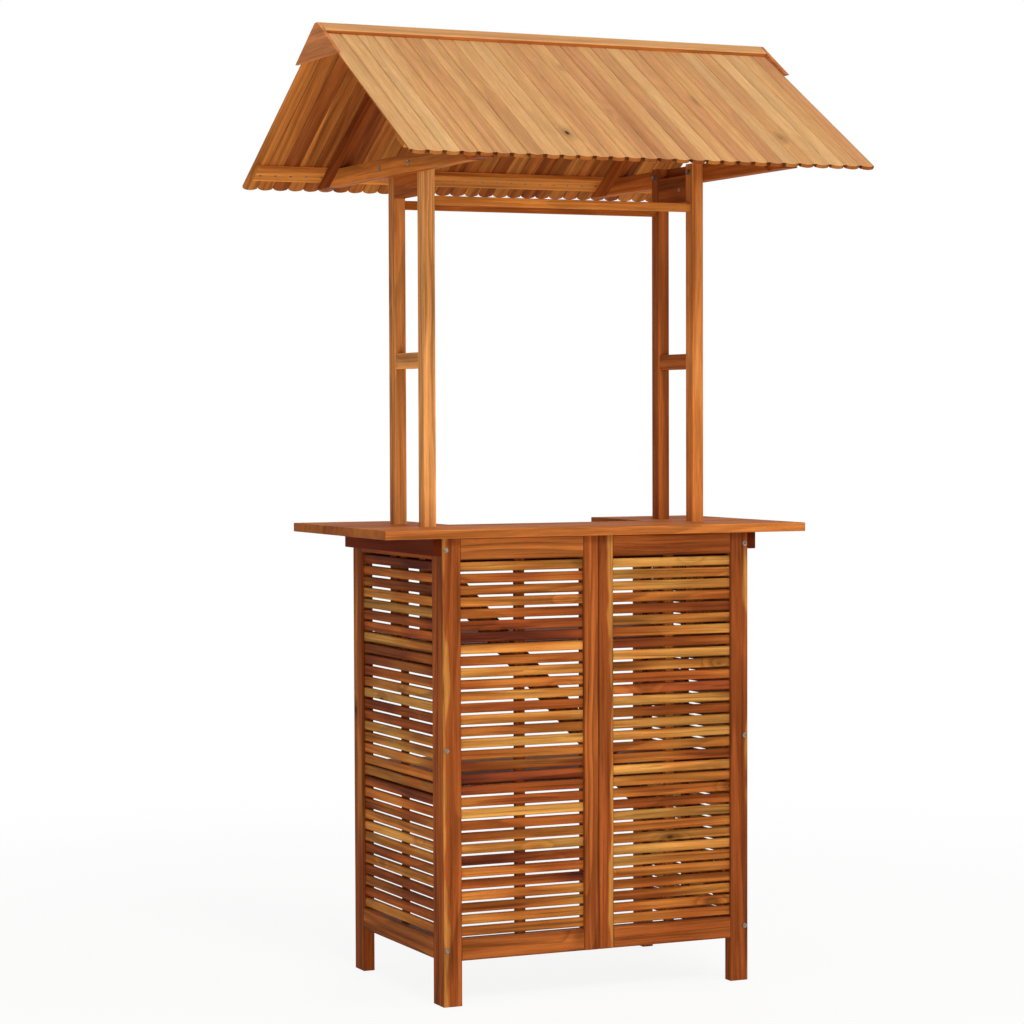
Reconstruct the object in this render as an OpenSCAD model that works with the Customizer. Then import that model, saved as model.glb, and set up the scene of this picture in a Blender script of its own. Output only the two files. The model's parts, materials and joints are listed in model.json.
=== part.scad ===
// Garden bar table with a small gable roof on four posts.
// X runs along the ridge, the guests' side faces -Y, and the origin is the
// middle of the footprint on the ground. Millimetres and degrees.

/* [Overall] */
// Length of the roof along the ridge, over the gable plates
roof_length = 1130; // [1000:10:1300]
// Depth of the roof from eave to eave
roof_depth = 1060; // [980:10:1200]
// Height of the ridge above the ground
total_height = 2170; // [2100:10:2300]
// Slope of the roof
roof_pitch = 31; // [28:0.5:34]
// Bevel along the edges of the bars and boards
edge_bevel = 1.5; // [0.5:0.5:2.5]
// Gap left where a piece fits between or beside others
seat_gap = 0.3; // [0.2:0.1:0.5]

/* [Base] */
// Width of the base over the side panels
base_width = 760; // [700:10:840]
// Depth of the base from the front face to the rear legs
base_depth = 530; // [500:10:560]
// Clear height under the bottom rails
foot_height = 100; // [60:5:140]
// Thickness of the panel frames
frame_t = 28; // [25:1:32]
// Height of the panels' top and bottom rails
rail_h = 48; // [40:1:60]
// Width of the front panels' outer stiles, which are the front legs
outer_stile_w = 45; // [40:1:56]
// Width of the front panels' inner stiles, which meet in the middle
inner_stile_w = 37; // [30:1:48]
// Width of the side panels' front stiles
side_front_stile_w = 30; // [28:1:40]
// Width of the side panels' rear stiles, which are the rear legs
side_rear_stile_w = 54; // [44:1:64]
// Joint between the two front panels
panel_joint = 0.4; // [0.2:0.1:1]

/* [Slats] */
// Number of slats in each panel
slat_count = 32; // [26:1:38]
// Gap between slats
slat_gap = 5; // [4:0.5:7]
// Thickness of the slats and of the rails' stub tenons
slat_t = 10; // [8:1:12]
// Setback of the slats from the face of the frame
slat_recess = 6; // [4:1:7]
// Depth of the grooves in the stiles
groove_depth = 8; // [6:1:10]
// Width of the batten behind the slats
slat_batten_w = 24; // [18:1:32]

/* [Brace and panel bolts] */
// Width of the diagonal brace behind the front panels
brace_w = 50; // [40:1:60]
// Thickness of the diagonal brace
brace_t = 18; // [14:1:22]
// Fall of the brace from its left end to its right end
brace_fall = 750; // [600:10:760]
// Distance of the panel bolts from the side of the base
bolt_edge = 9; // [8:0.5:12]
// Distance of the end bolts from the panel's bottom and top edges
bolt_inset = 26; // [20:1:34]
// Depth of the panel bolts in the side panels' stiles
bolt_bite = 18; // [14:1:20]
// Diameter of the bolts' shanks
bolt_d = 6; // [5:0.5:7]
// Diameter of the bolts' flanged heads
bolt_head_d = 11.5; // [10:0.5:13]
// Height of the bolts' heads
bolt_head_h = 2.2; // [1.5:0.1:3]
// Width of the hexagon sockets over their corners
socket_d = 4.6; // [4:0.2:5]
// Play of the bolts in their holes
bolt_play = 0.4; // [0.2:0.1:0.8]

/* [Shelves] */
// Height of the upper shelf bars' top faces, on which the posts stand
upper_shelf_z = 780; // [720:10:840]
// Height of the lower shelf bars' top faces
lower_shelf_z = 480; // [400:10:540]
// Height of the shelf bars
shelf_bar_h = 45; // [35:1:55]
// Thickness of the shelf bars
shelf_bar_t = 24; // [20:1:30]
// Distance of the shelf bars' rear ends from the back of the base
shelf_bar_setback = 15; // [5:5:40]
// Thickness of the shelf boards
shelf_t = 15; // [12:1:20]
// Depth of the shelves
shelf_depth = 440; // [400:10:450]
// Number of boards in each shelf
shelf_boards = 5; // [4:1:6]
// Gap between shelf boards
shelf_gap = 4; // [2:1:8]

/* [Counter] */
// Height of the counter's top face
counter_height = 1050; // [1000:10:1100]
// Width of the counter
counter_width = 1040; // [960:10:1100]
// Depth of the counter
counter_depth = 570; // [560:5:620]
// Thickness of the counter boards
counter_t = 20; // [16:1:28]
// Number of full-length boards at the front
front_rows = 3; // [2:1:4]
// Number of board rows that the server's bay is cut out of
bay_rows = 3; // [2:1:4]
// Gap between counter boards
counter_gap = 1; // [0.5:0.5:3]
// Width of the server's bay
bay_width = 500; // [420:10:560]
// Width of the outer cleats, along the ridge
outer_cleat_w = 20; // [15:1:28]
// Height of the outer cleats
outer_cleat_h = 38; // [32:1:46]
// Width of the cleats beside the bay
bay_cleat_w = 30; // [24:1:36]
// Height of the cleats beside the bay
bay_cleat_h = 20; // [15:1:25]
// Distance of the bay cleats from the bay and from the counter's rear edge
bay_cleat_inset = 5; // [3:1:10]
// Height of the bearers behind the panels' top rails
bearer_h = 60; // [56:1:68]
// Thickness of the bearers
bearer_t = 18; // [15:1:22]

/* [Posts] */
// Thickness of the posts along the ridge
post_w = 28; // [25:1:34]
// Depth of the posts
post_d = 36; // [32:1:44]
// Distance between the front and rear posts, centre to centre
post_spacing = 172; // [150:2:200]
// Clearance round the posts in the counter and the upper shelf
post_play = 0.5; // [0.3:0.1:1]
// Height of the middle of the rungs
rung_z = 1422; // [1350:5:1500]
// Height of the rungs' section
rung_h = 36; // [30:1:44]
// Thickness of the rungs
rung_t = 22; // [18:1:25]
// Height of the head rails
head_rail_h = 64; // [54:1:80]
// Height that head rails and tie beams share
head_lap = 16; // [14:1:20]
// Height of the cross rails' section
cross_rail_h = 20; // [16:1:24]
// Thickness of the cross rails
cross_rail_t = 18; // [15:1:24]
// Distance from the tie beams' lower edges down to the cross rails
cross_rail_drop = 52; // [46:1:60]
// Length of the tenons in the posts
tenon_l = 10; // [8:1:12]
// Shoulder all round the tenons
tenon_shoulder = 5; // [3:0.5:6]
// Play of the tenons in the mortises
tenon_play = 0.2; // [0.1:0.1:0.4]

/* [Trusses] */
// Distance from the ridge down to the tie beams' lower edges
truss_drop = 330; // [310:5:345]
// Height of the tie beams
tie_h = 40; // [34:1:50]
// Thickness of tie beams and rafters
truss_t = 28; // [24:1:34]
// Depth of the rafters, square to the slope
rafter_d = 44; // [36:1:52]
// Length over corners of the nuts' hexagons
nut_d = 11.5; // [10.5:0.5:13]
// Height of the nuts' hexagons
nut_h = 5; // [4:0.5:6]
// Diameter of the nuts' flanges
nut_flange_d = 15; // [14:0.5:17]
// Thickness of the nuts' flanges
nut_flange_t = 1.5; // [1:0.1:2]

/* [Roof] */
// Number of roof boards on each slope
roof_boards = 29; // [27:1:31]
// Thickness of the roof boards
roof_board_t = 8; // [7:1:11]
// Gap between roof boards
roof_board_gap = 0.4; // [0.2:0.1:1]
// Depth of the V joints between roof boards
v_joint = 2; // [1:0.5:3]
// Radius of the scalloped lower ends
scallop_r = 27; // [24:1:40]
// Width of the battens under the roof boards
roof_batten_w = 46; // [38:1:56]
// Thickness of the battens under the roof boards
roof_batten_t = 15; // [12:1:18]
// Distance of the eave battens' lower edges from the eave, along the slope
eave_batten_setback = 57; // [45:1:70]
// Distance of the ridge battens' upper edges from the ridge, along the slope
ridge_batten_setback = 20; // [19:1:40]
// Distance of the battens' ends from the gable plates
batten_end_gap = 7; // [4:1:15]
// Width of the ridge cap boards
cap_w = 46; // [40:1:60]
// Thickness of the ridge cap boards
cap_t = 10; // [8:1:13]
// Bevel along the ridge cap's lower edges
cap_bevel = 3; // [2:0.5:4]
// Width of the flat along the very top of the ridge
ridge_flat = 16; // [10:1:20]
// Thickness of the gable plates
plate_t = 8; // [6:1:12]
// Height of the gable plates
plate_h = 80; // [65:1:90]
// Height of the gable plates' lower corners over the roof boards, square to the slope
plate_rise = 6; // [3:0.5:8]

/* [Hidden] */
// Overshoot of cutting shapes
over = 1;
// Depth of the hexagon sockets as a share of the head's height
socket_share = 0.7;

front_y = -base_depth / 2;
panel_back_y = front_y + frame_t;
side_inner_x = base_width / 2 - frame_t;
counter_under = counter_height - counter_t;
front_panel_len = (base_width - panel_joint) / 2;
side_panel_len = base_depth - frame_t;
front_open = front_panel_len - outer_stile_w - inner_stile_w;
side_open = side_panel_len - side_front_stile_w - side_rear_stile_w;
panel_open_h = counter_under - foot_height - 2 * rail_h;
slat_h = (panel_open_h - (slat_count + 1) * slat_gap) / slat_count;
stub_l = groove_depth - seat_gap;

brace_mid_z = (foot_height + counter_under) / 2;
brace_half_x = side_inner_x - seat_gap;
brace_angle = atan(brace_fall / (2 * side_inner_x));
brace_half_z = brace_w / 2 / cos(brace_angle);
brace_back_y = panel_back_y + brace_t;

shelf_front_y = brace_back_y + seat_gap;
shelf_pitch = (shelf_depth + shelf_gap) / shelf_boards;

counter_front_y = -counter_depth / 2;
row_count = front_rows + bay_rows;
row_pitch = (counter_depth + counter_gap) / row_count;

post_x = side_inner_x - post_w / 2;
post_y = post_spacing / 2;
post_inner_x = side_inner_x - post_w;
post_inner_y = post_y - post_d / 2;
tie_z = total_height - truss_drop;
post_top = tie_z + tie_h;
head_rail_z = tie_z + head_lap - head_rail_h;
cross_rail_z = tie_z - cross_rail_drop;
post_bolt_z = tie_z + tie_h / 2;

// Heights at which the sloping faces would meet above the ridge line
cap_apex = total_height + ridge_flat / 2 * tan(roof_pitch);
board_apex = cap_apex - cap_t / cos(roof_pitch);
slope_len = roof_depth / 2 / cos(roof_pitch);
rafter_top_n = roof_board_t + roof_batten_t;
rafter_low_n = rafter_top_n + rafter_d;
tie_apex = board_apex - rafter_low_n / cos(roof_pitch);
board_row = roof_length - 2 * plate_t;
board_pitch = (board_row + roof_board_gap) / roof_boards;
plate_z = total_height - plate_h;
bearer_z = counter_under - bearer_h;
bearer_back_y = panel_back_y + bearer_t;

panel_wood = [0.66, 0.35, 0.15];
slat_wood = [0.70, 0.42, 0.20];
shelf_wood = [0.60, 0.36, 0.19];
counter_wood = [0.68, 0.38, 0.17];
cleat_wood = [0.29, 0.14, 0.09];
post_wood = [0.69, 0.42, 0.19];
truss_wood = [0.56, 0.29, 0.13];
board_wood = [0.80, 0.58, 0.37];
plate_wood = [0.67, 0.41, 0.27];
steel = [0.75, 0.75, 0.76];

// Section of a bar with bevelled edges
module bevelled(w, h, bevel = edge_bevel) {
    polygon([
        [bevel, 0], [w - bevel, 0], [w, bevel], [w, h - bevel],
        [w - bevel, h], [bevel, h], [0, h - bevel], [0, bevel]
    ]);
}

module bar_x(length, d, h) {
    rotate([90, 0, 90]) linear_extrude(length) bevelled(d, h);
}

module bar_y(length, w, h, bevel = edge_bevel) {
    translate([0, length, 0]) rotate([90, 0, 0]) linear_extrude(length) bevelled(w, h, bevel);
}

module bar_z(length, w, d) {
    linear_extrude(length) bevelled(w, d);
}

// A flat shape drawn across the ridge, as Y and Z, and given a thickness along it
module slab_x(x, t) {
    translate([x, 0, 0]) rotate([90, 0, 90]) linear_extrude(t) children();
}

module on_right() {
    mirror([1, 0, 0]) children();
}

module on_rear() {
    mirror([0, 1, 0]) children();
}

// Places of the four panels: in a panel's own frame x runs along it from the
// outer or front end, y goes in from its outside face and z is up
module left_front_panel() {
    translate([-base_width / 2, front_y, 0]) children();
}

module left_side_panel() {
    translate([-base_width / 2, panel_back_y, 0]) mirror([1, -1, 0]) children();
}

// A stile from z up to the counter, with the groove on its side_x edge
module stile(x, w, z, groove_x) {
    difference() {
        translate([x, 0, z]) bar_z(counter_under - z, w, frame_t);
        translate([groove_x, slat_recess - seat_gap, foot_height])
            cube([groove_depth + over, slat_t + 2 * seat_gap, counter_under - foot_height + over]);
    }
}

// A stile at the start of its panel, grooved on its far edge
module first_stile(w) {
    stile(0, w, 0, w - groove_depth);
}

// A stile that ends its panel, grooved on its near edge
module last_stile(panel_len, w, z) {
    stile(panel_len - w, w, z, panel_len - w - over);
}

module rails(x, length) {
    for (z = [foot_height, counter_under - rail_h]) {
        translate([x, 0, z]) bar_x(length, frame_t, rail_h);
        translate([x - stub_l, slat_recess, z]) cube([length + 2 * stub_l, slat_t, rail_h]);
    }
}

module slats(x, length) {
    for (i = [0 : slat_count - 1]) {
        z = foot_height + rail_h + slat_gap + i * (slat_h + slat_gap);
        translate([x - stub_l, slat_recess, z]) bar_x(length + 2 * stub_l, slat_t, slat_h);
    }
}

module slat_batten(x, length) {
    translate([x + (length - slat_batten_w) / 2, slat_recess + slat_t, foot_height + rail_h + seat_gap])
        bar_z(panel_open_h - 2 * seat_gap, slat_batten_w, frame_t - slat_recess - slat_t);
}

// Base: panels
module front_left_outer_stile() {
    color(panel_wood) difference() {
        left_front_panel() first_stile(outer_stile_w);
        panel_bolt_holes();
    }
}

module front_left_inner_stile() {
    color(panel_wood) left_front_panel() last_stile(front_panel_len, inner_stile_w, foot_height);
}

module front_left_rails() {
    color(panel_wood) left_front_panel() rails(outer_stile_w, front_open);
}

module front_left_slats() {
    color(slat_wood) left_front_panel() slats(outer_stile_w, front_open);
}

module left_side_front_stile() {
    color(panel_wood) difference() {
        left_side_panel() first_stile(side_front_stile_w);
        panel_bolt_holes();
    }
}

module left_side_rear_stile() {
    color(panel_wood) left_side_panel() last_stile(side_panel_len, side_rear_stile_w, 0);
}

module left_side_rails() {
    color(panel_wood) left_side_panel() rails(side_front_stile_w, side_open);
}

module left_side_slats() {
    color(slat_wood) left_side_panel() slats(side_front_stile_w, side_open);
}

module front_slat_battens() {
    color(panel_wood) {
        left_front_panel() slat_batten(outer_stile_w, front_open);
        on_right() left_front_panel() slat_batten(outer_stile_w, front_open);
    }
}

module left_side_slat_batten() {
    color(panel_wood) left_side_panel() slat_batten(side_front_stile_w, side_open);
}

// Base: diagonal brace, falling from the left to the right, its top corner cut off under the bearer
module front_brace() {
    half_fall = brace_half_x * tan(brace_angle);
    top = bearer_z - seat_gap - brace_mid_z;
    color(panel_wood) translate([0, brace_back_y, brace_mid_z]) rotate([90, 0, 0])
        linear_extrude(brace_t) intersection() {
            polygon([
                [-brace_half_x, half_fall - brace_half_z], [brace_half_x, -half_fall - brace_half_z],
                [brace_half_x, -half_fall + brace_half_z], [-brace_half_x, half_fall + brace_half_z]
            ]);
            translate([-base_width / 2, top - total_height]) square([base_width, total_height]);
        }
}

// Bolts from the front through the outer stiles into the side panels
module left_panel_bolt_places() {
    for (z = [foot_height + bolt_inset, brace_mid_z, counter_under - bolt_inset])
        translate([-base_width / 2 + bolt_edge, front_y, z]) rotate([-90, 0, 0]) children();
}

module panel_bolt_holes() {
    left_panel_bolt_places() translate([0, 0, -over])
        cylinder(d = bolt_d + bolt_play, h = frame_t + bolt_bite + 2 * over, $fn = 32);
}

// A bolt along Z whose head's underside is at the origin
module bolt(length) {
    difference() {
        union() {
            translate([0, 0, -bolt_head_h]) cylinder(d = bolt_head_d, h = bolt_head_h, $fn = 40);
            cylinder(d = bolt_d, h = length, $fn = 32);
        }
        translate([0, 0, -bolt_head_h - over])
            cylinder(d = socket_d, h = bolt_head_h * socket_share + over, $fn = 6);
    }
}

module panel_bolts() {
    color(steel) {
        left_panel_bolt_places() bolt(frame_t + bolt_bite);
        on_right() left_panel_bolt_places() bolt(frame_t + bolt_bite);
    }
}

// Shelves
module left_shelf_bar(top_z) {
    translate([-side_inner_x, shelf_front_y, top_z - shelf_bar_h])
        bar_y(base_depth / 2 - shelf_bar_setback - shelf_front_y, shelf_bar_t, shelf_bar_h);
}

module left_upper_shelf_bar() {
    color(shelf_wood) left_shelf_bar(upper_shelf_z);
}

module left_lower_shelf_bar() {
    color(shelf_wood) left_shelf_bar(lower_shelf_z);
}

module shelf(z) {
    for (i = [0 : shelf_boards - 1])
        translate([-side_inner_x + seat_gap, shelf_front_y + i * shelf_pitch, z])
            bar_x(2 * (side_inner_x - seat_gap), shelf_pitch - shelf_gap, shelf_t);
}

module upper_shelf_boards() {
    color(shelf_wood) difference() {
        shelf(upper_shelf_z);
        post_clearance(upper_shelf_z - over, shelf_t + 2 * over);
    }
}

module lower_shelf_boards() {
    color(shelf_wood) shelf(lower_shelf_z);
}

// Space cut round all four posts
module post_clearance(z, h) {
    for (x = [-post_x, post_x], y = [-post_y, post_y])
        translate([x - post_w / 2 - post_play, y - post_d / 2 - post_play, z])
            cube([post_w + 2 * post_play, post_d + 2 * post_play, h]);
}

// Counter: rows of boards, counted from the front
module counter_rows(x, length, first, last) {
    difference() {
        for (i = [first : last])
            translate([x, counter_front_y + i * row_pitch, counter_under])
                bar_x(length, row_pitch - counter_gap, counter_t);
        post_clearance(counter_under - over, counter_t + 2 * over);
    }
}

module counter_front_boards() {
    color(counter_wood) counter_rows(-counter_width / 2, counter_width, 0, front_rows - 1);
}

module counter_left_boards() {
    color(counter_wood)
        counter_rows(-counter_width / 2, (counter_width - bay_width) / 2, front_rows, row_count - 1);
}

module left_outer_cleat() {
    color(cleat_wood) translate([-base_width / 2 - outer_cleat_w, front_y, counter_under - outer_cleat_h])
        bar_y(base_depth, outer_cleat_w, outer_cleat_h);
}

module left_bay_cleat() {
    y = bearer_back_y + seat_gap;
    color(cleat_wood)
        translate([-bay_width / 2 - bay_cleat_inset - bay_cleat_w, y, counter_under - bay_cleat_h])
            bar_y(counter_depth / 2 - bay_cleat_inset - y, bay_cleat_w, bay_cleat_h);
}

// Bearers behind the top rails: one along the front, and beside each side panel
// one before, one between and one behind the posts
module left_bearers() {
    front = bearer_back_y + seat_gap;
    beside = post_y + post_d / 2 + post_play;
    between = post_inner_y - post_play;
    back = base_depth / 2 - shelf_bar_setback;
    for (span = [[front, -beside], [-between, between], [beside, back]])
        translate([-side_inner_x, span[0], bearer_z]) bar_y(span[1] - span[0], bearer_t, bearer_h);
}

module counter_bearers() {
    color(cleat_wood) {
        translate([-side_inner_x + seat_gap, panel_back_y, bearer_z])
            bar_x(2 * (side_inner_x - seat_gap), bearer_t, bearer_h);
        left_bearers();
        on_right() left_bearers();
    }
}

// Posts, with mortises for the rungs and rails and holes for the bolts
module front_left_post() {
    color(post_wood) difference() {
        translate([-post_x - post_w / 2, -post_y - post_d / 2, upper_shelf_z])
            bar_z(post_top - upper_shelf_z, post_w, post_d);
        rung_tenons(tenon_play);
        head_rail_tenons(tenon_play);
        cross_rail_tenons(tenon_play);
        frame_bolt_holes();
    }
}

// A bar between the left posts, and the tongue through it that forms both tenons
module left_post_bar(z, t, h) {
    translate([-post_x - t / 2, -post_inner_y, z]) bar_y(2 * post_inner_y, t, h);
}

module left_post_tongue(z, t, h, play) {
    reach = post_inner_y + tenon_l + play;
    translate([-post_x - t / 2 + tenon_shoulder - play, -reach, z + tenon_shoulder - play])
        cube([t - 2 * (tenon_shoulder - play), 2 * reach, h - 2 * (tenon_shoulder - play)]);
}

module rung_tenons(play) {
    left_post_tongue(rung_z - rung_h / 2, rung_t, rung_h, play);
}

module head_rail_tenons(play) {
    left_post_tongue(head_rail_z, post_w, head_rail_h, play);
}

module cross_rail_tenons(play) {
    reach = post_inner_x + tenon_l + play;
    inset = tenon_shoulder - play;
    translate([-reach, -post_y - cross_rail_t / 2 + inset, cross_rail_z - cross_rail_h + inset])
        cube([2 * reach, cross_rail_t - 2 * inset, cross_rail_h - 2 * inset]);
}

module left_rung() {
    color(post_wood) {
        left_post_bar(rung_z - rung_h / 2, rung_t, rung_h);
        rung_tenons(0);
    }
}

module left_head_rail() {
    color(truss_wood) {
        left_post_bar(head_rail_z, post_w, head_rail_h);
        head_rail_tenons(0);
    }
}

module front_cross_rail() {
    color(truss_wood) {
        translate([-post_inner_x, -post_y - cross_rail_t / 2, cross_rail_z - cross_rail_h])
            bar_x(2 * post_inner_x, cross_rail_t, cross_rail_h);
        cross_rail_tenons(0);
    }
}

// Trusses, outside the posts
function tie_half(z) = (tie_apex - z) / tan(roof_pitch);

module left_tie_beam() {
    low = tie_half(tie_z);
    high = tie_half(tie_z + tie_h);
    color(truss_wood) difference() {
        slab_x(-side_inner_x - truss_t, truss_t)
            polygon([[-low, tie_z], [low, tie_z], [high, tie_z + tie_h], [-high, tie_z + tie_h]]);
        frame_bolt_holes();
    }
}

// Frame of the rear slope: y runs down it from the ridge and z is square to it,
// with zero in the top faces of the boards
module rear_slope() {
    translate([0, 0, board_apex]) rotate([-roof_pitch, 0, 0]) children();
}

// Distance down the slope at which a face n below the boards' top meets the ridge plane
function ridge_start(n) = n * tan(roof_pitch) + seat_gap / 2 / cos(roof_pitch);

// Distance down the slope at which a face n below the boards' top meets the tie beams' lower edges
function tie_level(n) = (board_apex - tie_z - n * cos(roof_pitch)) / sin(roof_pitch);

// A rafter, cut upright at the ridge and level with the tie beam at its foot
module rear_left_rafter() {
    color(truss_wood) rear_slope() slab_x(-side_inner_x - truss_t, truss_t) polygon([
        [ridge_start(rafter_low_n), -rafter_low_n], [tie_level(rafter_low_n), -rafter_low_n],
        [tie_level(rafter_top_n), -rafter_top_n], [ridge_start(rafter_top_n), -rafter_top_n]
    ]);
}

// Bolts from the outside through tie beams and posts
module left_frame_bolt_places() {
    for (y = [-post_y, post_y])
        translate([-side_inner_x - truss_t, y, post_bolt_z]) rotate([0, 90, 0]) children();
}

module frame_bolt_holes() {
    left_frame_bolt_places() translate([0, 0, -over])
        cylinder(d = bolt_d + bolt_play, h = truss_t + post_w + 2 * over, $fn = 32);
}

module bolt_and_nut() {
    grip = truss_t + post_w;
    bolt(grip + nut_flange_t + nut_h);
    translate([0, 0, grip]) difference() {
        union() {
            cylinder(d = nut_flange_d, h = nut_flange_t, $fn = 40);
            cylinder(d = nut_d, h = nut_flange_t + nut_h, $fn = 6);
        }
        translate([0, 0, -over])
            cylinder(d = bolt_d + bolt_play / 2, h = nut_flange_t + nut_h + 2 * over, $fn = 32);
    }
}

module frame_bolts() {
    color(steel) {
        left_frame_bolt_places() bolt_and_nut();
        on_right() left_frame_bolt_places() bolt_and_nut();
    }
}

// Roof
module roof_batten(y) {
    length = board_row - 2 * batten_end_gap;
    translate([-length / 2, y, -roof_board_t - roof_batten_t]) bar_x(length, roof_batten_w, roof_batten_t);
}

module rear_roof_battens() {
    color(truss_wood) rear_slope() {
        roof_batten(ridge_batten_setback);
        roof_batten(slope_len - eave_batten_setback - roof_batten_w);
    }
}

// One board with V-jointed edges and a scalloped lower end
module roof_board(w) {
    top = ridge_start(roof_board_t);
    intersection() {
        translate([0, top, -roof_board_t]) bar_y(slope_len - top, w, roof_board_t, v_joint);
        translate([0, 0, -roof_board_t - over]) linear_extrude(roof_board_t + 2 * over) {
            square([w, slope_len - scallop_r]);
            translate([w / 2, slope_len - scallop_r]) circle(scallop_r, $fn = 96);
        }
    }
}

module rear_roof_boards() {
    color(board_wood) rear_slope() for (i = [0 : roof_boards - 1])
        translate([-board_row / 2 + i * board_pitch, 0, 0]) roof_board(board_pitch - roof_board_gap);
}

// A point u down the slope and n above the cap's top face, as Y and Z
function cap_point(u, n) = [
    u * cos(roof_pitch) + n * sin(roof_pitch),
    cap_apex - u * sin(roof_pitch) + n * cos(roof_pitch)
];

module rear_ridge_cap() {
    mitre = seat_gap / 2;
    color(board_wood) slab_x(-board_row / 2, board_row) polygon([
        [mitre, total_height], [mitre, board_apex - mitre * tan(roof_pitch)],
        cap_point(cap_w, -cap_t), cap_point(cap_w, -cap_bevel), cap_point(cap_w - cap_bevel, 0),
        [ridge_flat / 2, total_height]
    ]);
}

module left_gable_plate() {
    low = (board_apex + plate_rise / cos(roof_pitch) - plate_z) / tan(roof_pitch);
    color(plate_wood) slab_x(-roof_length / 2, plate_t) polygon([
        [-low, plate_z], [low, plate_z], [ridge_flat / 2, total_height], [-ridge_flat / 2, total_height]
    ]);
}

front_left_outer_stile();
front_left_inner_stile();
front_left_rails();
front_left_slats();
on_right() front_left_outer_stile();  // front_right_outer_stile
on_right() front_left_inner_stile();  // front_right_inner_stile
on_right() front_left_rails();  // front_right_rails
on_right() front_left_slats();  // front_right_slats
left_side_front_stile();
left_side_rear_stile();
left_side_rails();
left_side_slats();
on_right() left_side_front_stile();  // right_side_front_stile
on_right() left_side_rear_stile();  // right_side_rear_stile
on_right() left_side_rails();  // right_side_rails
on_right() left_side_slats();  // right_side_slats
front_slat_battens();
left_side_slat_batten();
on_right() left_side_slat_batten();  // right_side_slat_batten
front_brace();
panel_bolts();
left_upper_shelf_bar();
on_right() left_upper_shelf_bar();  // right_upper_shelf_bar
left_lower_shelf_bar();
on_right() left_lower_shelf_bar();  // right_lower_shelf_bar
upper_shelf_boards();
lower_shelf_boards();
counter_front_boards();
counter_left_boards();
on_right() counter_left_boards();  // counter_right_boards
left_outer_cleat();
on_right() left_outer_cleat();  // right_outer_cleat
left_bay_cleat();
on_right() left_bay_cleat();  // right_bay_cleat
counter_bearers();
front_left_post();
on_rear() front_left_post();  // rear_left_post
on_right() front_left_post();  // front_right_post
on_right() on_rear() front_left_post();  // rear_right_post
left_rung();
on_right() left_rung();  // right_rung
left_head_rail();
on_right() left_head_rail();  // right_head_rail
front_cross_rail();
on_rear() front_cross_rail();  // rear_cross_rail
left_tie_beam();
on_right() left_tie_beam();  // right_tie_beam
on_rear() rear_left_rafter();  // front_left_rafter
rear_left_rafter();
on_right() on_rear() rear_left_rafter();  // front_right_rafter
on_right() rear_left_rafter();  // rear_right_rafter
frame_bolts();
on_rear() rear_roof_battens();  // front_roof_battens
rear_roof_battens();
on_rear() rear_roof_boards();  // front_roof_boards
rear_roof_boards();
on_rear() rear_ridge_cap();  // front_ridge_cap
rear_ridge_cap();
left_gable_plate();
on_right() left_gable_plate();  // right_gable_plate
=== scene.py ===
"""The looks of the garden bar table: oiled hardwood, piece by piece, with small steel fixings.

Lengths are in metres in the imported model's own frame: X along the ridge, -Y towards the guests, Z up.
Every wooden node is replaced by a copy of itself with softened edges. The copy carries four attributes that
the wood shader reads: where a point lies in its own board's grain, the board's random numbers, which faces
are end grain, eased edges or open to the sky, and how far away the sapwood is.
"""

import json
import math
import random

import bmesh
import bpy
from mathutils import Matrix, Vector


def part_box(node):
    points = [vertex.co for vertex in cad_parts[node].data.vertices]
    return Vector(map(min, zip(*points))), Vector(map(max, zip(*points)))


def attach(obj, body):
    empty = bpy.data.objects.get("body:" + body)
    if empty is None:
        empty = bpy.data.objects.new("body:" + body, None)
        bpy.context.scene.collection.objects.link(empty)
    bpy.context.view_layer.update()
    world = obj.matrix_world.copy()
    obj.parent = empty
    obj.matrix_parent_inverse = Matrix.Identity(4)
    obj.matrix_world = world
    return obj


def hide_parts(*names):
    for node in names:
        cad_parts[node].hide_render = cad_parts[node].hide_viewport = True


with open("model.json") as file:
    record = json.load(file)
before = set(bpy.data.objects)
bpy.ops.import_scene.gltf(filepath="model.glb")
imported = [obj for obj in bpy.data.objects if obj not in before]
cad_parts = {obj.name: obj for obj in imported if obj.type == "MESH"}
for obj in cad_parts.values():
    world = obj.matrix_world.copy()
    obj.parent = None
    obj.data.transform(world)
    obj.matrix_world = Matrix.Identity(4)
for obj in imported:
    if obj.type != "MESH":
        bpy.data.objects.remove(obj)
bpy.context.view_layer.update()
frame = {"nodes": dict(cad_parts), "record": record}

SEED = 11
WHITE = (1, 1, 1)

X_AXIS = Vector((1, 0, 0))
Y_AXIS = Vector((0, 1, 0))
Z_AXIS = Vector((0, 0, 1))
ROOF_PITCH = math.radians(31)
REAR_SLOPE = Vector((0, math.cos(ROOF_PITCH), -math.sin(ROOF_PITCH)))
FRONT_SLOPE = Vector((0, -math.cos(ROOF_PITCH), -math.sin(ROOF_PITCH)))


# Camera

CAMERA_PLACE = Vector((-2.8966, -6.1691, 1.2949))
CAMERA_YAW = math.radians(24.453)
CAMERA_PITCH = math.radians(-2.394)
CAMERA_ROLL = math.radians(-0.205)
CAMERA_LENS = 103.65         # millimetres on the default 36 mm sensor
CAMERA_SHIFT = 0.0273
CAMERA_REACH = 60


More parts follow.
